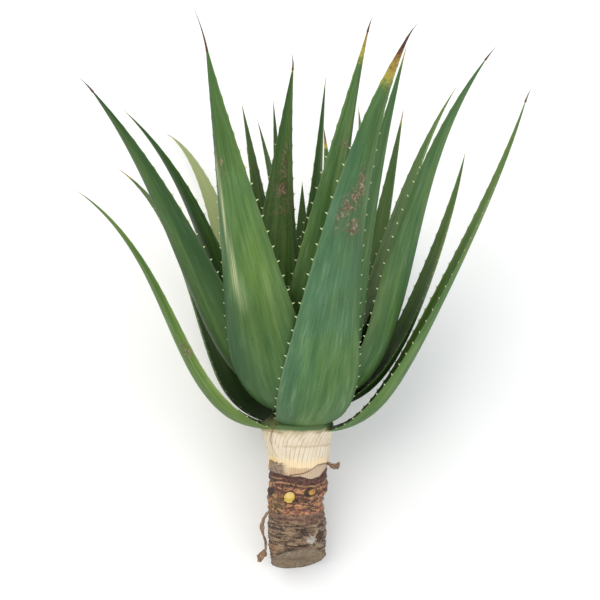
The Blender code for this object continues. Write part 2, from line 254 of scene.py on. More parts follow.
    # pale streaks, corky scabs and small freckles
    broken = add_node(tree, "ShaderNodeMapRange", {0: veins, 1: 0.35, 2: 0.55})
    broken = add_node(tree, "ShaderNodeMath", {0: broken, 1: streak}, operation="MULTIPLY")
    green = add_node(tree, "ShaderNodeMix", {0: broken, 6: green, 7: "#c3c79a"}, out=2,
                     data_type="RGBA")
    swirl = add_node(tree, "ShaderNodeTexNoise", {"Vector": spot, "Scale": 48.0, "Detail": 2.5,
                                                  "Distortion": 1.2})
    ridge = add_node(tree, "ShaderNodeMath", {0: swirl, 1: 0.5}, operation="SUBTRACT")
    ridge = add_node(tree, "ShaderNodeMath", {0: ridge}, operation="ABSOLUTE")
    ridge = add_node(tree, "ShaderNodeMapRange", {0: ridge, 1: 0.030, 2: 0.085, 3: 1.0, 4: 0.0})
    patch = add_node(tree, "ShaderNodeMapRange", {0: grain, 1: 0.61, 2: 0.70})
    corky = add_node(tree, "ShaderNodeMath", {0: ridge, 1: patch}, operation="MAXIMUM")
    corky = add_node(tree, "ShaderNodeMath", {0: corky, 1: scab}, operation="MULTIPLY")
    cork = add_node(tree, "ShaderNodeValToRGB", {"Fac": grain},
                    stops=((0.44, "#544532"), (0.51, "#7d6350"), (0.60, "#ab9482")))
    bruise = add_node(tree, "ShaderNodeMath", {0: scab, 1: 0.40}, operation="MULTIPLY")
    green = add_node(tree, "ShaderNodeMix", {0: bruise, 6: green, 7: "#4d4a2c"}, out=2,
                     data_type="RGBA")
    green = add_node(tree, "ShaderNodeMix", {0: corky, 6: green, 7: cork}, out=2, data_type="RGBA")
    freckle_field = add_node(tree, "ShaderNodeTexNoise", {"Vector": spot, "Scale": 260.0,
                                                          "Detail": 1.0})
    freckles = add_node(tree, "ShaderNodeMapRange", {0: freckle_field, 1: 0.755, 2: 0.80,
                                                     4: 0.7})
    green = add_node(tree, "ShaderNodeMix", {0: freckles, 6: green, 7: "#3d3a24"}, out=2,
                     data_type="RGBA")

    # drying tip: gold with brown freckles, then brown
    uneven = add_node(tree, "ShaderNodeMapRange", {0: grain, 1: 0.35, 2: 0.65, 3: -0.10, 4: 0.10})
    uneven = add_node(tree, "ShaderNodeMath", {0: uneven, 1: dry}, operation="ADD")
    gold = add_node(tree, "ShaderNodeValToRGB", {"Fac": uneven},
                    stops=((0.05, "#7d8c40"), (0.36, "#a79b42"), (0.50, "#8f6f34"),
                           (0.62, "#5d3826"), (1.0, "#35221f")))
    drying = add_node(tree, "ShaderNodeMapRange", {0: uneven, 1: 0.10, 2: 0.32})
    is_dry = add_node(tree, "ShaderNodeMath", {0: dry, 1: 0.01}, operation="GREATER_THAN")
    drying = add_node(tree, "ShaderNodeMath", {0: drying, 1: is_dry}, operation="MULTIPLY")
    green = add_node(tree, "ShaderNodeMix", {0: drying, 6: green, 7: gold}, out=2, data_type="RGBA")
    green = add_node(tree, "ShaderNodeMix", {0: pale, 6: green, 7: "#b4b885"}, out=2,
                     data_type="RGBA")
    colour = add_node(tree, "ShaderNodeMix", {0: horn, 6: green, 7: "#cfd8a2"}, out=2,
                      data_type="RGBA")

    relief = add_node(tree, "ShaderNodeMath", {0: veins, 1: corky}, operation="ADD")
    bump = add_node(tree, "ShaderNodeBump", {"Height": relief, "Strength": 0.3, "Distance": 0.0007},
                    out="Normal")
    rough = add_node(tree, "ShaderNodeMapRange", {0: clouds, 1: 0.3, 2: 0.7, 3: 0.44, 4: 0.62})
    shader = add_node(tree, "ShaderNodeBsdfPrincipled", {
        "Base Color": colour, "Roughness": rough, "Normal": bump, "Specular IOR Level": 0.24})
    add_node(tree, "ShaderNodeOutputMaterial", {"Surface": shader})
    return material


class Leaf:
    """Middle surface of one leaf; positions come out for whole arrays of (t, q)."""

    def __init__(self, row):
        (self.name, turn, foot, self.length, width, lean0, lean1, lean2,
         reach, drift, share, self.fullness) = row
        s = np.linspace(0.0, self.length, SAMPLES + 1)
        t = s / self.length
        mid = (s[1:] + s[:-1]) / 2
        lean = (lean1 + (lean0 - lean1) * np.exp(-(mid / reach) ** 1.25)
                + (lean2 - lean1) * (mid / self.length) ** 3)
        step = np.diff(s)
        out = np.concatenate([[0.0], np.cumsum(np.sin(np.radians(lean)) * step)])
        rise = np.concatenate([[0.0], np.cumsum(np.cos(np.radians(lean)) * step)])
        out += table(FOOT_LINE, foot) + 0.3
        rise += foot
        phi = math.radians(turn)
        radial = np.array([math.sin(phi), math.cos(phi), 0.0])
        along = np.array([math.cos(phi), -math.sin(phi), 0.0])
        up = np.array([0.0, 0.0, 1.0])
        self.centre = out[:, None] * radial + (drift * t ** 2)[:, None] * along + rise[:, None] * up
        self.tangent = np.gradient(self.centre, s, axis=0)
        self.tangent /= np.linalg.norm(self.tangent, axis=1)[:, None]
        side = np.cross(self.tangent, up)
        side /= np.linalg.norm(side, axis=1)[:, None]
        side *= np.sign(side @ along)[:, None]
        normal = np.cross(side, self.tangent)
        normal *= np.sign(normal @ radial)[:, None]
        blend = smooth(t / 0.3)[:, None]
        back = (1 - blend) * radial + blend * normal
        self.side = side
        self.normal = normal
        self.back = back / np.linalg.norm(back, axis=1)[:, None]
        base = share + (1 - share) * smooth(t / 0.2)
        x = np.clip(t - 0.10, 0, None) / 0.90
        self.half = width * base * (1 - x ** 1.12) * (1 - 0.25 * x)
        open_round = FOLDS.get(self.name, 2.2) * self.half + 12
        nested = np.minimum(np.hypot(self.centre[:, 0], self.centre[:, 1]), open_round)
        free = smooth((t - 0.15) / 0.35)
        self.round = (1 - free) * nested + free * open_round
        self.s = s

    def at(self, t, field):
        """Values of a sampled field at the shares t of the length."""
        x = np.asarray(t) * self.length
        if field.ndim == 1:
            return np.interp(x, self.s, field)
        return np.stack([np.interp(x, self.s, field[:, i]) for i in range(3)], axis=-1)

    def surface(self, t, q):
        bend = self.at(t, self.round)
        theta = q * self.at(t, self.half) / bend
        return (self.at(t, self.centre) + bend[..., None] * (
            (np.cos(theta) - 1)[..., None] * self.at(t, self.back)
            + np.sin(theta)[..., None] * self.at(t, self.side)))

    def outward(self, t, q):
        theta = q * self.at(t, self.half) / self.at(t, self.round)
        return (q * np.cos(theta))[..., None] * self.at(t, self.side) - (
            q * np.sin(theta))[..., None] * self.at(t, self.back)

    def face_normal(self, t, q):
        low, high = np.maximum(t - 1e-3, 0.0), np.minimum(t + 1e-3, 0.9995)
        n = np.cross(self.surface(high, q) - self.surface(low, q),
                     self.surface(np.minimum(t, 0.999), q + 0.02)
                     - self.surface(np.minimum(t, 0.999), q - 0.02))
        n /= np.maximum(np.linalg.norm(n, axis=-1), 1e-12)[..., None]
        facing = np.sign(np.einsum("...i,...i->...", n, self.at(t, self.normal)))
        return n * np.where(facing == 0, 1.0, facing)[..., None]

    def flesh(self, t):
        return ((0.15 + 0.13 * t) * 2 * self.at(t, self.half)
                * (0.5 + 0.5 * smooth(t / 0.14)) * self.fullness)

    def tooth_places(self):
        """Shares of the length where the teeth stand, the same rule as the solids'."""
        teeth = int(round(self.length * LAST_STATION / TOOTH_STEP / 2)) * 2
        cells = np.linspace(0.0, 1.0, teeth // 2 + 1)
        stations = LAST_STATION * (0.65 * cells + 0.35 * cells ** 1.6)
        return np.concatenate([[a + (b - a) * 0.25, a + (b - a) * 0.75]
                               for a, b in zip(stations, stations[1:])])

    def dryness(self, t):
        """0 on living green, up to 0.45 where the tip is gold, 1 at its dead end."""
        gold_from, brown_from = LOOKS[self.name][2:4]
        return (0.45 * smooth((t - gold_from) / (brown_from - gold_from))
                + 0.55 * smooth((t - brown_from) / (1.0 - brown_from)))


def wrap_grid(bm, around, along, layers, shape):
    """A closed tube from a grid: shape(a, b) gives places and layer values, with a going once
    round and b along; the seam and any row that shrinks to a point are merged."""
    made = bmesh.ops.create_grid(bm, x_segments=around, y_segments=along, size=0.5)["verts"]
    a = np.array([v.co.x + 0.5 for v in made])
    b = np.array([v.co.y + 0.5 for v in made])
    points, values = shape(a, b)
    points = place(points)
    for i, vert in enumerate(made):
        vert.co = points[i]
        for layer, value in zip(layers, values):
            vert[layer] = value[i]
    bmesh.ops.remove_doubles(bm, verts=made, dist=1e-6)


def finish_piece(name, bm, material, node):
    """Closes the ends, turns faces outwards, and makes the object stand for its CAD node."""
    rim = [e for e in bm.edges if e.is_boundary]
    if rim:
        bmesh.ops.holes_fill(bm, edges=rim)
    bmesh.ops.recalc_face_normals(bm, faces=bm.faces)
    for face in bm.faces:
        face.smooth = True
    mesh = bpy.data.meshes.new(name)
    bm.to_mesh(mesh)
    bm.free()
    mesh.materials.append(material)
    item = bpy.data.objects.new(name, mesh)
    bpy.context.scene.collection.objects.link(item)
    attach(item, "root")
    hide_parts(node)


def spike_mesh(cuts):
    """A slim cone one unit high and one in radius at the foot, cut into rings."""
    bm = bmesh.new()
    bmesh.ops.create_cone(bm, segments=8, radius1=1.0, radius2=0.06, depth=1.0, cap_ends=True)
    upright = [e for e in bm.edges if abs(e.verts[0].co.z - e.verts[1].co.z) > 0.5]
    bmesh.ops.subdivide_edges(bm, edges=upright, cuts=cuts)
    bmesh.ops.translate(bm, verts=bm.verts, vec=(0.0, 0.0, 0.5))
    mesh = bpy.data.meshes.new("spike")
    bm.to_mesh(mesh)
    bm.free()
    return mesh


def add_spike(bm, mesh, layers, shape):
    """Joins a copy of the spike to a piece; shape turns its points (x, y, z) into places and
    layer values."""
    start = len(bm.verts)
    bm.from_mesh(mesh)
    bm.verts.ensure_lookup_table()
    made = bm.verts[start:]
    points, values = shape(np.array([v.co for v in made]))
    for i, (vert, point) in enumerate(zip(made, place(points))):
        vert.co = point
        for layer, value in zip(layers, values):
            vert[layer] = value[i]


def add_teeth(bm, leaf, layers, spike, seed):
    """Horny cream hooks along both margins, smaller towards the tip."""
    bloom, warm = LOOKS[leaf.name][:2]
    places = leaf.tooth_places()
    width = smooth(leaf.at(places, leaf.half) / 20)
    dry = leaf.dryness(places)
    for q in (1.0, -1.0):
        spot = np.full_like(places, q)
        feet = leaf.surface(places, spot)
        out = leaf.outward(places, spot)
        ahead = leaf.surface(places + 1e-3, spot) - feet
        ahead /= np.linalg.norm(ahead, axis=1)[:, None]
        across = np.cross(out, ahead)
        for i, t in enumerate(places):
            high = 2.5 * width[i] + 0.8

            def hook(p):
                z = p[:, 2]
                waist = 1.0 - 0.42 * np.sin(np.pi * z) * (1 - z)
                points = (feet[i] + ahead[i] * (waist * p[:, 0] * (1.0 + 0.8 * width[i])
                                                + 1.3 * z ** 2)[:, None]
                          + across[i] * (0.7 * waist * p[:, 1])[:, None]
                          + out[i] * (z * (high + 1.0) - 1.0)[:, None])
                ones = np.ones_like(z)
                horn = np.clip(z * 2.6 - 0.35, 0, 1) * (1 - dry[i])
                return points, (
                    np.stack([q * ones, t * leaf.length / 100 * ones, seed * ones], axis=1),
                    np.stack([bloom * ones, warm * ones, dry[i] * ones, horn], axis=1),
                    np.stack([0 * ones, 0 * ones, 0 * ones, ones], axis=1))

            add_spike(bm, spike, layers, hook)


def add_awn(bm, leaf, layers, spike, length, bend_u, bend_v):
    """The thin dead thread that a leaf tip ends in."""
    tip = leaf.centre[-12]
    ahead = leaf.tangent[-12]
    start = (leaf.centre[-1] - tip) @ ahead

    def thread(p):
        z = p[:, 2]
        thick = 1.15 * (1 - z) ** 0.7 + 0.22
        curl = np.stack([bend_u * z ** 2, bend_v * z ** 2, 0 * z], axis=1)
        points = (tip + ahead * (z * (length + start))[:, None] + curl
                  + leaf.side[-1] * (thick * p[:, 0])[:, None]
                  + leaf.normal[-1] * (thick * p[:, 1])[:, None])
        ones = np.ones_like(z)
        return points, (np.stack([0 * ones, 4.0 + z, ones], axis=1),
                        np.stack([0 * ones, 0 * ones, 0.62 + 0.38 * z, 0 * ones], axis=1),
                        np.stack([0 * ones, 0 * ones, 0 * ones, ones], axis=1))

    add_spike(bm, spike, layers, thread)


def rest(points):
    """Keeps the points of a resting piece on or above the surface."""
    height = points[:, 1] * math.cos(REST_ANGLE) + points[:, 2] * math.sin(REST_ANGLE) - FLOOR
    under = np.maximum(0.0, 0.2 - height)
    points = points.copy()
    points[:, 1] += under * math.cos(REST_ANGLE)
    points[:, 2] += under * math.sin(REST_ANGLE)
    return points


def blob(t, q, at, reach, centre, width):
    """Soft round mask on a leaf."""
    return np.exp(-((t - at) / reach) ** 2 - ((q - centre) / width) ** 2)


# Broad bands of another tone on single leaves: leaf, from and to as shares of the length, middle
# across the leaf (-1 left margin, 1 right), half width; change of bloom, of yellow, of shade. The
# shade changes are mostly painted shade, on sides turned from the light and on low parts under
# other leaves, with some of the leaf's own darker green.
BANDS = (
    ("leaf_01", 0.10, 0.75, -0.85, 0.45, 0.15, -0.30, 0.00),
    ("leaf_01", 0.50, 0.95, 0.20, 0.35, -0.30, 0.10, -0.10),
    ("leaf_01", 0.68, 1.10, 0.00, 1.50, -0.40, 0.20, -0.10),
    ("leaf_01", 0.10, 0.90, 0.75, 0.25, -0.35, 0.25, 0.00),
    ("leaf_01", -0.10, 0.30, 0.10, 0.80, -0.45, 0.10, 0.05),
    ("leaf_03", 0.15, 1.00, -0.90, 0.35, 0.45, -0.70, -0.22),
    ("leaf_03", 0.20, 0.55, 0.35, 0.35, -0.20, 0.30, 0.00),
    ("leaf_03", 0.72, 1.10, 0.10, 0.90, -0.10, -0.15, -0.30),
    ("leaf_03", -0.10, 0.40, 0.00, 2.00, 0.10, -0.15, -0.34),
    ("leaf_17", 0.00, 0.93, 0.75, 0.40, -0.20, -0.20, -0.60),
    ("leaf_17", 0.20, 0.85, 0.05, 0.18, 0.10, 0.55, 0.15),
    ("leaf_15", 0.10, 0.90, 0.20, 0.40, 0.10, 0.35, 0.30),
    ("leaf_15", 0.00, 1.00, -0.90, 0.40, 0.00, 0.00, -0.40),
    ("leaf_14", 0.62, 0.95, 0.70, 0.45, 0.00, 0.35, 0.15),
    ("leaf_14", 0.20, 0.60, 0.20, 0.40, 0.00, 0.30, 0.05),
    ("leaf_14", 0.00, 1.00, -0.80, 0.45, 0.00, -0.20, -0.30),
    ("leaf_06", 0.00, 1.00, 0.85, 0.35, 0.30, -0.20, -0.20),
    ("leaf_06", 0.20, 0.80, 0.20, 0.25, 0.00, 0.40, 0.12),
    ("leaf_21", 0.00, 1.00, -0.90, 0.30, 0.00, 0.20, -0.25),
    ("leaf_01", 0.00, 1.00, 1.00, 0.20, 0.00, -0.20, -0.25),
    ("leaf_03", 0.30, 1.00, 0.95, 0.25, 0.00, 0.10, -0.15),
    ("leaf_05", 0.60, 1.00, 0.00, 1.50, -0.10, 0.20, -0.12),
    ("leaf_06", 0.00, 0.55, 0.00, 1.50, 0.00, 0.10, -0.18),
    ("leaf_06", 0.60, 1.10, 0.00, 1.50, 0.00, 0.10, -0.12),
    ("leaf_04", 0.30, 0.80, 0.45, 0.35, 0.20, -0.10, -0.20),
    ("leaf_21", 0.10, 0.60, 0.60, 0.45, 0.20, 0.00, 0.00),
    ("leaf_21", 0.55, 0.95, 0.20, 0.60, -0.15, 0.25, 0.00),
)


def leaf_bands(name, t, q):
    """Changes of bloom, yellow and shade, mostly painted shade, that the bands make on one leaf."""
    change = np.zeros((3, len(t)))
    for leaf, start, end, middle, width, *amounts in BANDS:
        if leaf == name:
            mask = smooth((t - start) / 0.12 + 0.5) * smooth((end - t) / 0.12 + 0.5)
            mask = mask * np.exp(-((q - middle) / width) ** 2)
            change += mask * np.array(amounts)[:, None]
    return change


def leaf_marks(name, t, q):
    """Scabs and pale streaks on the outer face of single leaves, as soft masks."""
    scab = np.zeros_like(t)
    streak = np.zeros_like(t)
    if name == "leaf_01":
        scab = (blob(t, q, 0.645, 0.035, 0.20, 0.22) + blob(t, q, 0.60, 0.03, -0.15, 0.30)
                + blob(t, q, 0.545, 0.018, 0.15, 0.28) + 0.6 * blob(t, q, 0.565, 0.03, -0.50, 0.14))
    if name == "leaf_03":
        line = q + 0.62 - 1.15 * (0.70 - t)
        streak = np.exp(-(line / 0.085) ** 2) * smooth((t - 0.33) / 0.1)
        streak *= 1 - smooth((t - 0.70) / 0.06)
        scab = 0.8 * blob(t, q, 0.71, 0.02, -0.15, 0.2) + 0.5 * blob(t, q, 0.74, 0.03, -0.65, 0.12)
    if name == "leaf_14":
        scab = (blob(t, q, 0.635, 0.02, 0.15, 0.35) + 0.6 * blob(t, q, 0.72, 0.05, 0.1, 0.3)
                + 0.35 * blob(t, q, 0.60, 0.10, 0.2, 0.8))
    if name == "leaf_05":
        scab = blob(t, q, 0.39, 0.025, 0.7, 0.25)
    if name == "leaf_04":
        scab = 0.7 * blob(t, q, 0.62, 0.05, -0.4, 0.25) + blob(t, q, 0.08, 0.03, 0.8, 0.3)
    if name == "leaf_17":
        scab = 0.6 * blob(t, q, 0.70, 0.02, 0.0, 0.4)
    return np.minimum(scab, 1.0), streak


def make_leaf(row, material, tooth, thread):
    leaf = Leaf(row)
    bloom, warm, _, _, shade = LOOKS[leaf.name]
    seed = int(leaf.name[-2:]) * 0.37
    bm = bmesh.new()
    layers = (bm.verts.layers.float_vector.new("skin"),
              bm.verts.layers.float_color.new("state"),
              bm.verts.layers.float_color.new("marks"))
    teeth = leaf.tooth_places()

    def blade(a, b):
        t = b
        q = np.cos(2 * np.pi * a)
        outer = a <= 0.5
        edge = np.abs(q) ** 10
        gap = np.min(np.abs(t[:, None] - teeth[None, :]), axis=1) * leaf.length
        swell = 0.6 * np.exp(-(gap / 3.0) ** 2) * edge * smooth(leaf.at(t, leaf.half) / 10)
        lift = np.where(outer, 0.68 * (1 - q * q) ** 0.8, -0.32 * (1 - q * q)) * leaf.flesh(t)
        rim = np.where(outer, 1.0, -1.0) * 0.35 * np.abs(np.sin(2 * np.pi * a)) ** 0.5
        rim = rim * smooth(leaf.at(t, leaf.half) / 5)
        points = (leaf.surface(t, q) + leaf.face_normal(t, q) * (lift + rim)[:, None]
                  + leaf.outward(t, q) * (swell / np.maximum(np.abs(q), 1e-3))[:, None])
        if leaf.name in RESTING:
            points = rest(points)
        zero = np.zeros_like(t)
        pale = 0.9 * np.clip(1 - t * leaf.length / 9, 0, 1) ** 1.5
        pale = np.maximum(pale, BLEACHED.get(leaf.name, 0.0) * smooth((0.97 - t) / 0.1))
        scab, streak = leaf_marks(leaf.name, t, q)
        # Painted shade: a slightly darker inner face, leaves inside the rosette darkened over their lowest
        # 190 mm, and inner faces darkened over their lowest 120 mm, where shade falls between the leaves;
        # the rest of the tone is the leaf's own green.
        tone_with_painted_shade = np.where(outer, shade, 0.92 * shade - 0.05)
        rosette_painted_shade = 0.0 if leaf.name in OUTER_LEAVES else 0.75
        tone_with_painted_shade = tone_with_painted_shade * (1 - rosette_painted_shade * (1 - smooth(t * leaf.length / 190)))
        tone_with_painted_shade = tone_with_painted_shade * (0.35 + 0.65 * smooth(t * leaf.length / 120 + outer))
        # The bands' shade change is mostly painted shade, on sides turned from the light and under other
        # leaves.
        waxy, yellow, darker = leaf_bands(leaf.name, t, q) * outer
        waxy = waxy - 0.25 * ~outer
        yellow = yellow + 0.20 * ~outer
        values = (np.stack([q, t * leaf.length / 100, zero + seed], axis=1),
                  np.stack([np.clip(bloom + waxy, 0, 1), np.clip(warm + yellow, 0, 1),
                            leaf.dryness(t), 0.10 * np.abs(q) ** 40], axis=1),
                  np.stack([scab * outer, streak * outer, pale,
                            np.clip(tone_with_painted_shade + darker, 0, 1)], axis=1))
        return points, values

    add_teeth(bm, leaf, layers, tooth, seed)
    if leaf.name in AWNS:
        add_awn(bm, leaf, layers, thread, *AWNS[leaf.name])
    wrap_grid(bm, AROUND, int(leaf.length / ROW_STEP), layers, blade)
    finish_piece("aloe_" + leaf.name, bm, material, leaf.name)


# Trunk: height, sideways centre, radius, read down from the rosette to the cut.
TRUNK = (
    (88, 0.0, 7.5), (60, 0.0, 19.5), (30, 0.0, 28.5), (12, -1.0, 33.5), (7, -3.0, 37.0),
    (4, -4.5, 42.0), (-1, -5.0, 43.0), (-10, -4.8, 41.0), (-18, -4.4, 39.2), (-27, -3.8, 37.2),
    (-36, -3.4, 35.8), (-46, -3.8, 35.4), (-53, -4.2, 34.2), (-66, -3.6, 33.9), (-84, -7.0, 33.6),
    (-97, -6.4, 32.8), (-113, -4.6, 34.2), (-128, -4.8, 34.6), (-142, -4.6, 33.9),
    (-160, -3.4, 32.4), (-190, -3.4, 32.0),
)
CUT_LEVEL = -160.5
CUT_RISE_V = 0.58
CUT_RISE_U = 0.13
TRUNK_AROUND = 264
TRUNK_ALONG = 350
# rows of the trunk's grid: share of the rows, height; the last share runs over the cut face
TRUNK_ROWS = ((0.0, 88.0), (0.06, 6.0), (0.22, -42.0), (0.88, -160.0))

# Lower edge of the cream sheath and of the torn layer in front of it: degrees round the trunk
# from the viewer's side to the right, height.
SHEATH_EDGE = (
    (-180, -50), (-120, -52), (-67, -53), (-45, -54.5), (-26, -55.8), (2, -56.7), (11, -57.0),
    (28, -59.3), (50, -57.6), (61, -53.4), (75, -49.5), (87, -48.0), (130, -50), (180, -50),
)
TORN_EDGE = ((-15, -54.5), (2, -53.1), (12, -52.0), (22, -49.7), (31, -46.2), (39, -43.8),
             (60, -43.0), (87, -46.0))
SEAM = ((5.3, -35), (-7.0, -44), (-15.2, -50), (-23.5, -49), (-28.5, -46), (-34.0, -42))
VEIN_SWEEP = ((-60, 0), (-36, 0), (-20, 6), (-12, 11), (-4, 19), (6, 36))   # height, degrees
STEM_RADIUS = 34.0


def trunk_bark():
    """Aloe stem: a cream neck of living sheath with fine brown veins, reddish bark with ochre
    scar ridges below it, then grey fissured old bark and a sandy cut face."""
    material, tree = new_material("aloe stem bark")
    base = add_node(tree, "ShaderNodeAttribute", out="Color", attribute_name="bark")
    coarse = add_node(tree, "ShaderNodeAttribute", out="Alpha", attribute_name="bark")
    spot = add_node(tree, "ShaderNodeTexCoord", out="Object")
    fine = add_node(tree, "ShaderNodeTexNoise", {"Vector": spot, "Scale": 900.0, "Detail": 4.0,
                                                 "Roughness": 0.65})
    grain = add_node(tree, "ShaderNodeTexNoise", {"Vector": spot, "Scale": 240.0, "Detail": 5.0,
                                                  "Roughness": 0.65})
    gaps = add_node(tree, "ShaderNodeMapRange", {0: grain, 1: 0.32, 2: 0.50, 3: 0.75, 4: 0.0})
    gaps = add_node(tree, "ShaderNodeMath", {0: gaps, 1: coarse}, operation="MULTIPLY")
    colour = add_node(tree, "ShaderNodeMix", {0: gaps, 6: base, 7: "#241510"}, out=2,
                      data_type="RGBA")
    crumbs = add_node(tree, "ShaderNodeMapRange", {0: fine, 1: 0.54, 2: 0.68, 3: 0.0, 4: 0.5})
    crumbs = add_node(tree, "ShaderNodeMath", {0: crumbs, 1: coarse}, operation="MULTIPLY")
    colour = add_node(tree, "ShaderNodeMix", {0: crumbs, 6: colour, 7: "#c2ad8a"}, out=2,
                      data_type="RGBA")
    relief = add_node(tree, "ShaderNodeMath", {0: fine, 1: grain}, operation="ADD")
    relief = add_node(tree, "ShaderNodeMath", {0: relief, 1: coarse}, operation="MULTIPLY")
    bump = add_node(tree, "ShaderNodeBump", {"Height": relief, "Strength": 0.7,
                                             "Distance": 0.0014}, out="Normal")
    shader = add_node(tree, "ShaderNodeBsdfPrincipled", {
        "Base Color": colour, "Normal": bump, "Roughness": 0.7})
    add_node(tree, "ShaderNodeOutputMaterial", {"Surface": shader})
    return material


def dry_paper():
    """Dead leaf sheath: thin, tan and brown, matt, with lengthwise fibres and browner rims."""
    material, tree = new_material("dry leaf sheath")
    spot = add_node(tree, "ShaderNodeTexCoord", out="Object")
    rim = add_node(tree, "ShaderNodeAttribute", out="Fac", attribute_name="rim")
    long_spot = add_node(tree, "ShaderNodeVectorMath", {0: spot, 1: (900.0, 160.0, 900.0)},
                         operation="MULTIPLY")
    fibre = add_node(tree, "ShaderNodeTexNoise", {"Vector": long_spot, "Scale": 1.0,
                                                  "Detail": 4.0})
    blotch = add_node(tree, "ShaderNodeTexNoise", {"Vector": spot, "Scale": 130.0,
                                                   "Detail": 3.0})
    tan = add_node(tree, "ShaderNodeValToRGB", {"Fac": fibre},
                   stops=((0.30, "#654b36"), (0.50, "#876a50"), (0.70, "#b39a78")))
    blotched = add_node(tree, "ShaderNodeMapRange", {0: blotch, 1: 0.50, 2: 0.68, 4: 0.7})
    tan = add_node(tree, "ShaderNodeMix", {0: blotched, 6: tan, 7: "#5c4030"}, out=2,
                   data_type="RGBA")
    colour = add_node(tree, "ShaderNodeMix", {0: rim, 6: tan, 7: "#5a3b25"}, out=2,
                      data_type="RGBA")
    bump = add_node(tree, "ShaderNodeBump", {"Height": fibre, "Strength": 0.5,
                                             "Distance": 0.0008}, out="Normal")
    shader = add_node(tree, "ShaderNodeBsdfPrincipled", {
        "Base Color": colour, "Normal": bump, "Roughness": 0.8})
    add_node(tree, "ShaderNodeOutputMaterial", {"Surface": shader})
    return material


def fractal(points, scale, octaves=4):
    """Fractal noise at each point, about -1 to 1."""
    return np.array([noise.fractal(Vector(p) * scale, 1.0, 2.0, octaves) for p in points])


def tint(base, mask, code):
    """Mixes a colour into an array of colours by a mask."""
    mask = np.clip(mask, 0, 1)[:, None]
    return base * (1 - mask) + np.array(linear(code)[:3]) * mask


def on_stem(degrees, h, at_degrees, at_h, half_width, half_height):
    """Distance from a place on the stem, 1 at the rim of an oval with these half sizes, mm."""
    turn = (degrees - at_degrees + 180) % 360 - 180
    return np.hypot(np.radians(turn) * STEM_RADIUS / half_width, (h - at_h) / half_height)


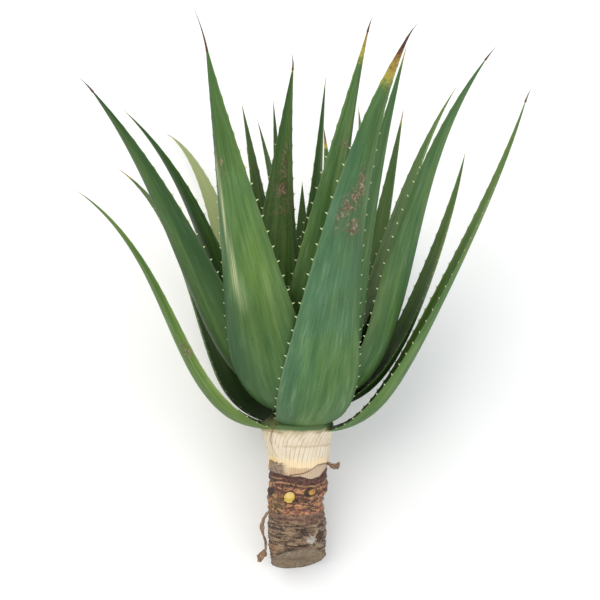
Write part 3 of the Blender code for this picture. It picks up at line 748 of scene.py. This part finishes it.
def trunk_shape(a, b):
    degrees = 360 * a - 180
    angle = np.radians(degrees)
    cut_from = TRUNK_ROWS[-1][0]
    radius = table(TRUNK, -150.0, 2)
    rim = CUT_LEVEL + CUT_RISE_V * radius * np.cos(angle) + CUT_RISE_U * radius * np.sin(angle)
    h = np.interp(b, [r[0] for r in TRUNK_ROWS], [r[1] for r in TRUNK_ROWS])
    low_from, low_to = TRUNK_ROWS[-2][1], TRUNK_ROWS[-1][1]
    h = np.where(h < low_from, low_from + (h - low_from) * (rim - low_from) / (low_to - low_from), h)
    radius = table(TRUNK, h, 2)
    centre = table(TRUNK, h, 1)
    unit = np.stack([np.sin(angle), np.cos(angle), h / STEM_RADIUS], axis=1)
    rough = fractal(unit, 3.0)
    layered = fractal(unit * np.array([1.0, 1.0, 6.0]), 2.2, 5)
    flecks = fractal(unit * np.array([1.0, 1.0, 3.0]) + 7.0, 9.0, 4)

    edge = table(SHEATH_EDGE, degrees) + 0.9 * fractal(unit * np.array([1, 1, 0]), 5.0, 3)
    bark = smooth((edge - h) / 1.0 + 0.5)
    old = smooth((-100.5 - h + 3.0 * rough) / 4.0)
    torn_h = table(TORN_EDGE, degrees) + 0.4 * rough
    torn = (degrees > -15) & (degrees < 87)
    lobe = torn * smooth((torn_h - h) / 0.8 + 0.5) * (1 - bark)
    red = bark * (1 - old)
    stub = on_stem(degrees, h, -12, -80.0, 6.4, 6.8) + 0.10 * flecks
    small_stub = on_stem(degrees, h, 31, -74.8, 5.0, 4.0)
    notch = on_stem(degrees, h, -66, -77.5, 11.0, 5.0) + 0.4 * rough
    pit = on_stem(degrees, h, 54, -129.0, 7.5, 8.5) + 0.3 * flecks
    bulge = on_stem(degrees, h, 84, -74.5, 13.0, 8.5)

    waves = np.sin(h / 1.45 + 1.3 * np.sin(2 * angle + 1) + 3.0 * rough + 0.8 * layered)
    relief = (1 - bark) * (0.9 - 0.7 * lobe) + red * (0.8 * waves + 0.9 * rough)
    relief += bark * old * (0.8 * rough + 1.5 * layered + 0.5 * np.sin(h / 2.1 + 2.5 * rough))
    relief += 3.2 * smooth((1.12 - stub) / 0.2) - 1.6 * smooth((1.1 - notch) / 0.6)
    relief += 2.2 * smooth((1.1 - small_stub) / 0.3) - 2.2 * smooth((1.15 - pit) / 0.35)
    relief += 3.6 * np.exp(-bulge ** 2)
    relief -= 0.8 * (h > -46) * np.exp(-((h + 20.5 + 1.5 * rough) / 1.2) ** 2) * (degrees > -25)
    radius = radius + relief

    end = np.clip((b - cut_from) / (1 - cut_from), 0, 1)
    u = centre + radius * np.sin(angle) * (1 - end)
    v = radius * np.cos(angle) * (1 - end)
    saw = 0.5 * rough + 0.5 * flecks
    h_cut = CUT_LEVEL + CUT_RISE_V * v + CUT_RISE_U * u + saw * np.minimum(end * 8, 1)
    h = np.where(end > 0, h_cut, h)

    # cream neck
    colour = np.tile(np.array(linear("#e6d8c0")[:3]), (len(a), 1))
    colour = tint(colour, 0.5 * smooth((rough + 0.1) / 0.5), "#dac5a8")
    sweep = table(VEIN_SWEEP, h)
    lane = (degrees - sweep) / 8.0 + 0.22 * fractal(unit * np.array([1, 1, 0.3]) + 3.0, 2.0, 2)
    vein = np.abs(lane - np.round(lane)) * 8.0
    strength = 0.35 + 0.45 * smooth((fractal(unit * np.array([1, 1, 0.4]), 4.0, 2) + 0.2) / 0.4)
    colour = tint(colour, strength * np.clip(1.3 - vein / 0.9, 0, 1) * smooth((h + 52) / 8), "#8f7654")
    half_lane = np.abs(lane * 2 - np.round(lane * 2)) * 4.0
    colour = tint(colour, 0.28 * np.clip(1.3 - half_lane / 0.8, 0, 1) * (h > -60), "#a58f6c")
    colour = tint(colour, 0.75 * smooth((-32 - h + 3 * rough) / 10) * (h > -60), "#ecd2a4")
    colour = tint(colour, 0.7 * np.exp(-on_stem(degrees, h, -52, -40, 7, 7) ** 2), "#d9b765")
    colour = tint(colour, 0.7 * np.exp(-on_stem(degrees, h, 82, -38, 7, 8) ** 2), "#cf9a55")
    # Painted shade: a darker line along the ring crease at h -20.5.
    colour = tint(colour, 0.45 * np.exp(-((h + 20.5 + 1.5 * rough) / 1.4) ** 2) * (degrees > -25),
                  "#a8946e")
    colour = tint(colour, 0.8 * smooth((h + 8 + 3 * rough) / 6), "#b3a67c")
    aside = smooth((np.abs(degrees - 5) - 22) / 10)
    colour = tint(colour, 0.55 * aside * np.exp(-((h + 3.6 + 2 * rough) / 1.0) ** 2), "#7a5a3a")
    colour = tint(colour, smooth((h + 3 + 2 * rough) / 3), "#55703f")
    # Painted shade: near-black green over the top of the neck above h 7, the dark between the leaf feet.
    colour = tint(colour, smooth((h - 7) / 5), "#1d3512")
    seam = np.abs(degrees - np.interp(h, *zip(*sorted(SEAM)))) * STEM_RADIUS * math.pi / 180
    in_seam = (h < 6) & (h > -34)
    colour = tint(colour, np.clip(1.5 - seam / 0.8, 0, 1) * in_seam * (0.9 - 0.5 * smooth(-(h + 12) / 14)),
                  "#6b3f22")
    left = (degrees < np.interp(h, *zip(*sorted(SEAM)))) & (degrees > -100) & (h > -34)
    colour = tint(colour, 0.35 * left * smooth(flecks + 0.5), "#b9a274")

    # torn papery layer and grey patch at the sheath's lower edge
    low_band = smooth((-44.5 - h + 1.5 * rough) / 3.0) * (1 - bark)
    colour = tint(colour, 0.75 * low_band, "#c4a785")
    colour = tint(colour, 0.5 * low_band * np.clip(1.3 - half_lane / 0.8, 0, 1), "#84644a")
    colour = tint(colour, lobe, "#c6b093")
    colour = tint(colour, lobe * 0.5 * np.clip(1.3 - half_lane / 0.8, 0, 1), "#8d7658")
    rimline = torn * np.exp(-((h - torn_h) / 0.9) ** 2) * (1 - bark)
    colour = tint(colour, 0.95 * rimline, "#6b4126")
    patch = (smooth((degrees + 72) / 4) * smooth((-18 - degrees - 5 * flecks) / 14)
             * smooth((-40.5 - h + 3.0 * flecks + 0.07 * (-20 - degrees)) / 3.0))
    colour = tint(colour, 0.9 * patch * (1 - bark), "#87725f")
    colour = tint(colour, 0.8 * patch * smooth((flecks - 0.05) / 0.25), "#5b3f3a")
    colour = tint(colour, 0.8 * np.exp(-on_stem(degrees, h, -21, -47, 3.2, 5) ** 2), "#cdbb98")
    colour = tint(colour, 0.9 * np.exp(-((h - edge - 0.4) / 0.8) ** 2) * (degrees < 8)
                  * (degrees > -120), "#4a2b20")

    # reddish bark with ochre scar ridges
    colour = tint(colour, red, "#5b302a")
    colour = tint(colour, red * smooth((-66 - h) / 8) * smooth((rough + 0.4) / 0.5), "#8d5642")
    ochre = smooth((waves - 0.15) / 0.5) * smooth((rough + 0.30) / 0.35) * smooth((-64 - h) / 6)
    colour = tint(colour, 0.9 * red * ochre, "#c28a5c")
    colour = tint(colour, 0.75 * red * smooth((-waves - 0.35) / 0.4), "#371915")
    thin = np.exp(-((h + 66.5 + 2.0 * np.sin(angle * 3) + 1.0 * rough) / 0.9) ** 2)
    thin += np.exp(-((h + 60.0 + 1.0 * rough) / 0.7) ** 2) * (degrees < -30) * (degrees > -75)
    colour = tint(colour, 0.9 * red * thin, "#c19463")
    colour = tint(colour, 0.8 * red * smooth((flecks - 0.18) / 0.15) * smooth((-80 - h) / 8), "#c69c62")
    colour = tint(colour, 0.9 * red * smooth((-flecks - 0.22) / 0.12), "#2b1214")
    colour = tint(colour, 0.6 * red * np.exp(-on_stem(degrees, h, 20, -97, 26, 6) ** 2)
                  * smooth((rough + 0.1) / 0.3), "#9c5350")
    colour = tint(colour, 0.55 * red * np.exp(-on_stem(degrees, h, -45, -88, 13, 10) ** 2), "#6b5a2e")

    # old grey bark
    grey = bark * old
    colour = tint(colour, grey, "#624a39")
    colour = tint(colour, grey * smooth((layered - 0.02) / 0.25), "#91785e")
    colour = tint(colour, 0.8 * grey * smooth((flecks - 0.22) / 0.15), "#a48b70")
    colour = tint(colour, grey * smooth((-layered - 0.16) / 0.12), "#35251b")
    colour = tint(colour, 0.65 * grey * np.exp(-on_stem(degrees, h, -58, -146, 13, 14) ** 2)
                  * smooth((fractal(unit * np.array([1, 1, 0.2]), 7.0, 3) + 0.3) / 0.4), "#8a5a2c")
    colour = tint(colour, 0.6 * grey * smooth((h + 113 + 3 * rough) / 6), "#6b4238")
    near_rim = np.exp(-((h - rim) / 2.4) ** 2) * (end == 0)
    colour = tint(colour, near_rim * (0.35 + 0.6 * np.exp(-((degrees + 12) / 28) ** 2)), "#2b1b12")

    # stubs of air roots, notch, pit and chip
    colour = tint(colour, smooth((1.25 - stub) / 0.12), "#3a1c14")
    colour = tint(colour, smooth((1.02 - stub) / 0.10), "#c9a94a")
    # Painted highlight: a lighter patch on the stub's dome, set 3 mm towards the rosette from its middle.
    colour = tint(colour, 0.7 * smooth((0.85 - on_stem(degrees, h, -12, -77, 6, 6)) / 0.3)
                  * (stub < 1), "#dcc57e")
    colour = tint(colour, smooth((1.5 - on_stem(degrees, h, 27, -75, 5.5, 4.6)) / 0.3), "#2e1711")
    colour = tint(colour, smooth((1.0 - small_stub) / 0.2), "#c08d42")
    # Painted shade: near-black in the notch's dent.
    colour = tint(colour, smooth((1.0 - notch) / 0.3), "#1c110e")
    colour = tint(colour, smooth((1.3 - on_stem(degrees, h, 50, -129, 7.5, 8.5)) / 0.2), "#a08f78")
    # Painted shade: near-black in the pit's hollow.
    colour = tint(colour, smooth((1.05 - pit) / 0.2), "#27150f")
    stripes = smooth((np.sin(degrees * 1.1) - 0.2) / 0.4)
    colour = tint(colour, 0.8 * smooth((0.85 - pit) / 0.2) * stripes, "#7d4c2c")
    chip = on_stem(degrees, h, 28, -130.7, 6.0, 4.2) + 0.9 * flecks + 0.5 * rough
    colour = tint(colour, smooth((0.95 - chip) / 0.15), "#c3bcb2")

    # sandy cut face
    face = np.minimum(end * 60, 1)
    colour = tint(colour, face, "#766047")
    colour = tint(colour, 0.6 * face * smooth((flecks + 0.05) / 0.25), "#98866a")
    colour = tint(colour, 0.6 * face * np.exp(-(end / 0.06) ** 2), "#4a3726")
    alpha = np.clip(bark * (1 - smooth((1.1 - stub) / 0.1)) + (end > 0), 0.05, 1)
    return np.stack([u, v, h], axis=1), (np.concatenate([colour, alpha[:, None]], axis=1),)


def make_trunk():
    bm = bmesh.new()
    bark = bm.verts.layers.float_color.new("bark")

    def shape(a, b):
        points, values = trunk_shape(a, b)
        return rest(points), values

    wrap_grid(bm, TRUNK_AROUND, TRUNK_ALONG, (bark,), shape)
    finish_piece("aloe_trunk", bm, trunk_bark(), "trunk")


# Papery remnants: u, v, h of the middle line and half width, mm.
SHEATH_CURL = (
    (31.4, 10.0, -44.0, 2.0), (33.6, 12.0, -45.6, 2.8), (36.8, 13.5, -47.4, 3.5),
    (40.4, 13.0, -48.0, 3.9), (43.6, 11.5, -47.4, 4.4), (45.6, 9.0, -46.4, 4.6),
)
DRY_STRIP = (
    (-39.9, 8.0, -103.0, 1.8), (-44.6, 8.5, -110.0, 2.6), (-47.2, 9.0, -118.5, 3.2),
    (-45.6, 9.5, -128.5, 2.6), (-42.6, 10.0, -137.0, 1.7), (-42.2, 10.0, -146.0, 1.6),
    (-45.5, 9.5, -151.5, 6.0), (-48.5, 9.0, -157.0, 5.4), (-50.5, 8.5, -162.0, 2.6),
)
CURL_ACROSS = (0.0, 0.35, 0.937)
STRIP_ACROSS = (0.8, 0.6, 0.0)


def make_ribbon(name, rows, across, material, node):
    """Thin dry ribbon that follows its middle line, with wavy, slightly rolled edges."""
    rows = np.array(rows)
    knots = np.linspace(0, 1, len(rows))
    across = np.array(across, float)
    bm = bmesh.new()
    rim = bm.verts.layers.float.new("rim")

    def shape(a, b):
        line = np.stack([np.interp(b, knots, rows[:, i]) for i in range(3)], axis=1)
        width = np.interp(b, knots, rows[:, 3])
        step = np.stack([np.interp(np.minimum(b + 0.03, 1), knots, rows[:, i])
                         - np.interp(np.maximum(b - 0.03, 0), knots, rows[:, i])
                         for i in range(3)], axis=1)
        face = np.cross(step, across)
        face /= np.linalg.norm(face, axis=1)[:, None]
        x = np.cos(2 * np.pi * a)
        y = np.sin(2 * np.pi * a) * 0.5
        wave = 0.6 * np.sin(b * 23 + 2 * x) * np.abs(x) + 0.9 * x * x - 0.3
        ragged = 1 + 0.12 * np.sin(b * 37 + 4 * x) + 0.08 * np.sin(b * 71 + x)
        brown = np.clip(np.abs(x) * 1.6 - 0.9 + 0.35 * np.sin(b * 19), 0, 0.9)
        return (line + across * (width * ragged * x)[:, None]
                + face * (y + wave)[:, None]), (brown,)

    wrap_grid(bm, 20, 80, (rim,), shape)
    finish_piece(name, bm, material, node)


def floor_paper():
    """Seamless white studio paper."""
    material, tree = new_material("white studio paper")
    spot = add_node(tree, "ShaderNodeTexCoord", out="Object")
    mottle = add_node(tree, "ShaderNodeTexNoise", {"Vector": spot, "Scale": 6.0, "Detail": 2.0})
    colour = add_node(tree, "ShaderNodeValToRGB", {"Fac": mottle},
                      stops=((0.3, "#f6f6f5"), (0.7, "#f9f9f8")))
    shader = add_node(tree, "ShaderNodeBsdfPrincipled", {"Base Color": colour, "Roughness": 0.9})
    add_node(tree, "ShaderNodeOutputMaterial", {"Surface": shader})
    return material


def make_floor():
    bm = bmesh.new()
    bmesh.ops.create_grid(bm, x_segments=8, y_segments=8, size=6.0)
    mesh = bpy.data.meshes.new("floor")
    bm.to_mesh(mesh)
    bm.free()
    mesh.materials.append(floor_paper())
    item = bpy.data.objects.new("floor", mesh)
    bpy.context.scene.collection.objects.link(item)


def add_light(name, spot, aim, size, power, colour):
    data = bpy.data.lights.new(name, "AREA")
    data.shape = "DISK"
    data.size = size
    data.energy = power
    data.color = linear(colour)[:3]
    item = bpy.data.objects.new(name, data)
    item.location = spot
    item.rotation_euler = (Vector(aim) - Vector(spot)).to_track_quat("-Z", "Y").to_euler()
    bpy.context.scene.collection.objects.link(item)


def studio():
    """Pale sky all round, a large soft key over the plant's left shoulder, a weak fill."""
    world = bpy.data.worlds.new("pale studio")
    world.use_nodes = True
    back = world.node_tree.nodes["Background"]
    back.inputs["Color"].default_value = linear("#f6f8fa")
    back.inputs["Strength"].default_value = 0.92
    bpy.context.scene.world = world
    add_light("key", (-0.7, 0.3, 1.8), (0.0, 0.0, 0.15), 1.9, 18.0, "#fffaf2")
    add_light("fill", (1.4, -1.0, 1.2), (0.0, 0.0, 0.15), 1.6, 8.0, "#f2f6ff")
    eye = place(np.array([[-1.2, 1200.0, 150.0]]))[0]
    data = bpy.data.cameras.new("camera")
    data.lens = 60.0
    data.sensor_width = 36.0
    camera = bpy.data.objects.new("camera", data)
    camera.location = Vector(eye)
    camera.rotation_euler = (REST_ANGLE, 0.0, 0.0)
    bpy.context.scene.collection.objects.link(camera)
    bpy.context.scene.camera = camera
    bpy.context.scene.view_settings.view_transform = "Standard"


def main():
    leaf_material = waxy_leaf()
    tooth = spike_mesh(3)
    thread = spike_mesh(12)
    for row in LEAVES:
        make_leaf(row, leaf_material, tooth, thread)
    make_trunk()
    paper = dry_paper()
    make_ribbon("aloe_sheath_curl", SHEATH_CURL, CURL_ACROSS, paper, "sheath_curl")
    make_ribbon("aloe_dry_strip", DRY_STRIP, STRIP_ACROSS, paper, "dry_strip")
    make_floor()
    studio()


main()
